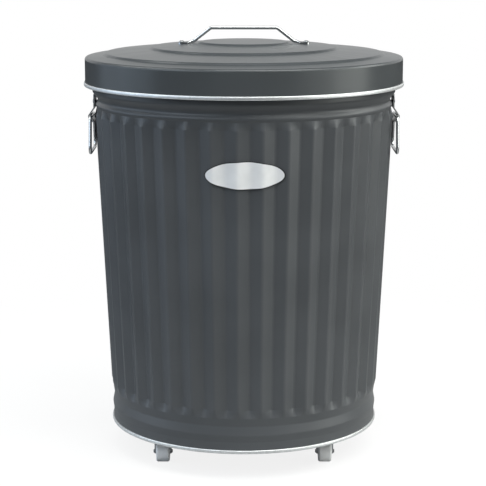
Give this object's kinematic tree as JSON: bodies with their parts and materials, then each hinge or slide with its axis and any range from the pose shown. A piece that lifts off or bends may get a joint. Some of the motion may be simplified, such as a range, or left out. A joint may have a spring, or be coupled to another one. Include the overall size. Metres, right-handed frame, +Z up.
{
  "type": "wheeled trash can",
  "caption": "Round corrugated metal trash can, tapered to the foot, with a lift-off terraced lid, drop side handles, bright hoops and small swivel casters.",
  "frame": {"origin": "on the floor, under the middle of the bin's bounding box", "axes": "+Z up along the body's axis, -Y towards the front of the bin, handles at +X and -X"},
  "size_m": [0.4098, 0.4098, 0.5485],
  "materials": {
    "dark_coat": "satin",
    "lid_coat": "satin",
    "bright_hoop": "bright",
    "galvanised_rod": "satin",
    "galvanised_strip": "satin",
    "rivet_steel": "satin",
    "caster_steel": "satin",
    "wheel_nylon": "matte"
  },
  "bodies": {
    "can": {"body_shell": "dark_coat", "rim_wire": "galvanised_rod", "base_pan": "dark_coat", "foot_hoop": "bright_hoop", "left_handle_bracket": "galvanised_strip", "left_bracket_rivets": "rivet_steel", "right_handle_bracket": "galvanised_strip", "right_bracket_rivets": "rivet_steel", "front_left_caster_plate": "caster_steel", "front_left_plate_rivets": "rivet_steel", "front_left_race_ring": "caster_steel", "front_left_kingpin": "caster_steel", "front_right_caster_plate": "caster_steel", "front_right_plate_rivets": "rivet_steel", "front_right_race_ring": "caster_steel", "front_right_kingpin": "caster_steel", "rear_left_caster_plate": "caster_steel", "rear_left_plate_rivets": "rivet_steel", "rear_left_race_ring": "caster_steel", "rear_left_kingpin": "caster_steel", "rear_right_caster_plate": "caster_steel", "rear_right_plate_rivets": "rivet_steel", "rear_right_race_ring": "caster_steel", "rear_right_kingpin": "caster_steel"},
    "lid": {"lid_shell": "lid_coat", "lid_hoop": "bright_hoop", "lid_handle": "galvanised_rod", "lid_handle_rivets": "rivet_steel"},
    "left_loop": {"left_handle": "galvanised_rod"},
    "right_loop": {"right_handle": "galvanised_rod"},
    "front_left_swivel": {"front_left_fork": "caster_steel", "front_left_axle": "rivet_steel"},
    "front_left_roller": {"front_left_wheel": "wheel_nylon"},
    "front_right_swivel": {"front_right_fork": "caster_steel", "front_right_axle": "rivet_steel"},
    "front_right_roller": {"front_right_wheel": "wheel_nylon"},
    "rear_left_swivel": {"rear_left_fork": "caster_steel", "rear_left_axle": "rivet_steel"},
    "rear_left_roller": {"rear_left_wheel": "wheel_nylon"},
    "rear_right_swivel": {"rear_right_fork": "caster_steel", "rear_right_axle": "rivet_steel"},
    "rear_right_roller": {"rear_right_wheel": "wheel_nylon"}
  },
  "joints": [
    {"name": "lid_lift", "type": "slide", "parent": "can", "child": "lid", "axis": [0, 0, 1], "range_m": [0, 0.3]},
    {"name": "left_handle_swing", "type": "hinge", "parent": "can", "child": "left_loop", "pos_m": [-0.19565, 0, 0.4345], "axis": [0, 1, 0], "range_deg": [-3, 150]},
    {"name": "right_handle_swing", "type": "hinge", "parent": "can", "child": "right_loop", "pos_m": [0.19565, 0, 0.4345], "axis": [0, -1, 0], "range_deg": [-3, 150]},
    {"name": "front_left_caster_swivel", "type": "hinge", "parent": "can", "child": "front_left_swivel", "pos_m": [-0.1035, -0.087, 0.036], "axis": [0, 0, 1], "continuous": true},
    {"name": "front_left_wheel_spin", "type": "hinge", "parent": "front_left_swivel", "child": "front_left_roller", "pos_m": [-0.1035, -0.097, 0.0136], "axis": [1, 0, 0], "continuous": true},
    {"name": "front_right_caster_swivel", "type": "hinge", "parent": "can", "child": "front_right_swivel", "pos_m": [0.1035, -0.087, 0.036], "axis": [0, 0, 1], "continuous": true},
    {"name": "front_right_wheel_spin", "type": "hinge", "parent": "front_right_swivel", "child": "front_right_roller", "pos_m": [0.1035, -0.097, 0.0136], "axis": [1, 0, 0], "continuous": true},
    {"name": "rear_left_caster_swivel", "type": "hinge", "parent": "can", "child": "rear_left_swivel", "pos_m": [-0.1035, 0.087, 0.036], "axis": [0, 0, 1], "continuous": true},
    {"name": "rear_left_wheel_spin", "type": "hinge", "parent": "rear_left_swivel", "child": "rear_left_roller", "pos_m": [-0.1035, 0.077, 0.0136], "axis": [1, 0, 0], "continuous": true},
    {"name": "rear_right_caster_swivel", "type": "hinge", "parent": "can", "child": "rear_right_swivel", "pos_m": [0.1035, 0.087, 0.036], "axis": [0, 0, 1], "continuous": true},
    {"name": "rear_right_wheel_spin", "type": "hinge", "parent": "rear_right_swivel", "child": "rear_right_roller", "pos_m": [0.1035, 0.077, 0.0136], "axis": [1, 0, 0], "continuous": true}
  ]
}
